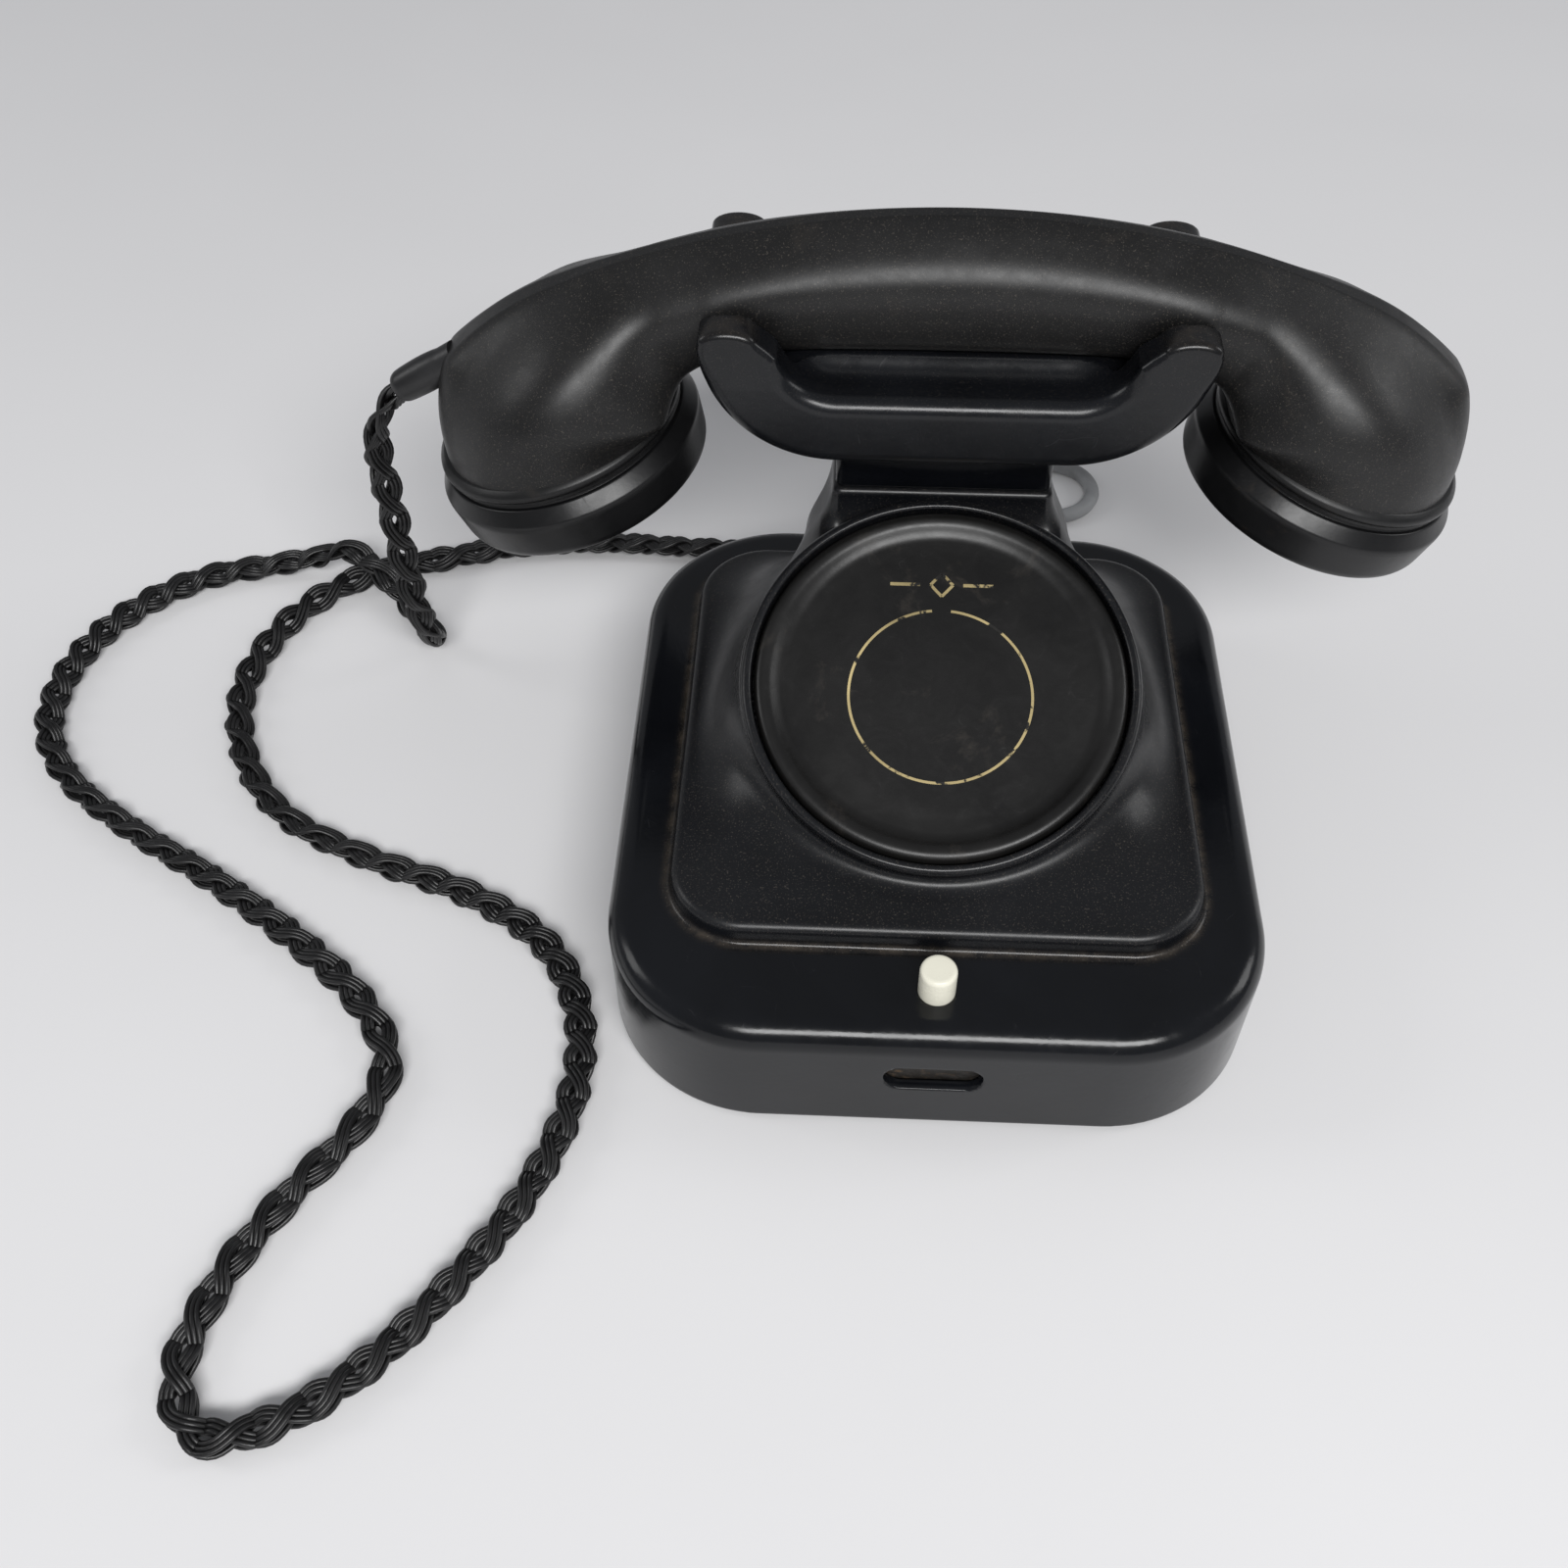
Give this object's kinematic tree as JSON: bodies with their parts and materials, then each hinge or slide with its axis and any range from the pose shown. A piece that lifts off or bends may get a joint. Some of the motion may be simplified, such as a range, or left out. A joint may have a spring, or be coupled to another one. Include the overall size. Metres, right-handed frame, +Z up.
{
  "type": "desk telephone",
  "caption": "Black cradle telephone with a moulded base, a blank plate in the dial opening, an ivory call button, a handset on a rising cradle, a plaited cord and a coiled line cord.",
  "frame": {"origin": "on the desk surface under the middle of the base", "axes": "+Z up, -Y towards the user in front, +X to the right seen from the front, along the handset"},
  "size_m": [0.3644, 0.3921, 0.146],
  "materials": {
    "black_moulding": "polished hard black moulding, handled",
    "satin_moulding": "rubbed satin black moulding",
    "plate_black": "satin black moulding",
    "steel": "zinc-plated steel",
    "brass": "dull brass",
    "board": "brown insulating board",
    "winding": "varnished red-brown winding",
    "can": "dull metal can",
    "capsule": "pressed aluminium",
    "ivory": "ivory, slightly grubby",
    "foot_rubber": "dark rubber",
    "cord_black": "plaited black covered wires",
    "boot_black": "black flexible sleeve",
    "cord_grey": "smooth grey covering",
    "plug_grey": "grey moulding"
  },
  "bodies": {
    "base": {"housing": "black_moulding", "blank_plate": "plate_black", "plate_clamp_ring": "steel", "plate_screws": "steel", "slot_cover": "board", "button_bush": "black_moulding", "button_spring": "steel", "button_contacts": "brass", "base_plate": "steel", "rubber_feet": "foot_rubber", "base_screws": "steel", "ringer_frame": "steel", "ringer_coils": "winding", "gong_left": "brass", "gong_right": "brass", "gong_screws": "steel", "armature_pin": "steel", "induction_coil": "winding", "capacitor": "can", "capacitor_strap": "steel", "terminal_block": "board", "terminal_screws": "brass", "hook_bracket": "steel", "lever_pin": "steel", "hook_contacts": "brass", "plunger_spring": "steel", "handset_cord": "cord_black", "handset_gland": "boot_black", "cord_clamps": "steel", "line_gland": "boot_black", "line_cord": "cord_grey", "line_cord_coil": "cord_grey", "cord_tie": "boot_black", "plug_body": "plug_grey", "plug_cover": "plug_grey", "plug_pins": "brass"},
    "handset": {"handset_handle": "satin_moulding", "transmitter_cap": "black_moulding", "receiver_cap": "black_moulding", "transmitter_capsule": "capsule", "receiver_capsule": "capsule", "transmitter_contacts": "brass", "receiver_contacts": "brass", "handset_boot": "boot_black"},
    "cradle_unit": {"cradle": "black_moulding", "plunger_sleeve": "satin_moulding", "plunger_rod": "steel", "cradle_screws": "steel"},
    "hook_arm": {"hook_lever": "brass"},
    "call_button": {"push_button": "ivory"},
    "clapper": {"armature": "steel", "clapper_ball": "brass"}
  },
  "joints": [
    {"name": "handset_lift", "type": "slide", "parent": "base", "child": "handset", "axis": [0, 0, 1], "range_m": [0, 0.06]},
    {"name": "cradle_rise", "type": "slide", "parent": "base", "child": "cradle_unit", "axis": [0, 0, 1], "range_m": [0, 0.005], "deforming": ["plunger_spring"]},
    {"name": "hook_arm_turn", "type": "hinge", "parent": "base", "child": "hook_arm", "pos_m": [0.018, 0.0545, 0.056], "axis": [0, 1, 0], "range_deg": [0, 13.6]},
    {"name": "button_press", "type": "slide", "parent": "base", "child": "call_button", "axis": [0, 0, -1], "range_m": [0, 0.003], "stiffness_N_per_m": 250, "springref_m": -0.002, "deforming": ["button_spring"]},
    {"name": "clapper_swing", "type": "hinge", "parent": "base", "child": "clapper", "pos_m": [0, -0.02, 0.016], "axis": [0, 0, 1], "range_deg": [-9, 9]}
  ],
  "couplings": [
    {"joint": "cradle_rise", "follows": "handset_lift", "ratio": 0.0833},
    {"joint": "hook_arm_turn", "follows": "handset_lift", "rad_per_m": 3.92}
  ]
}
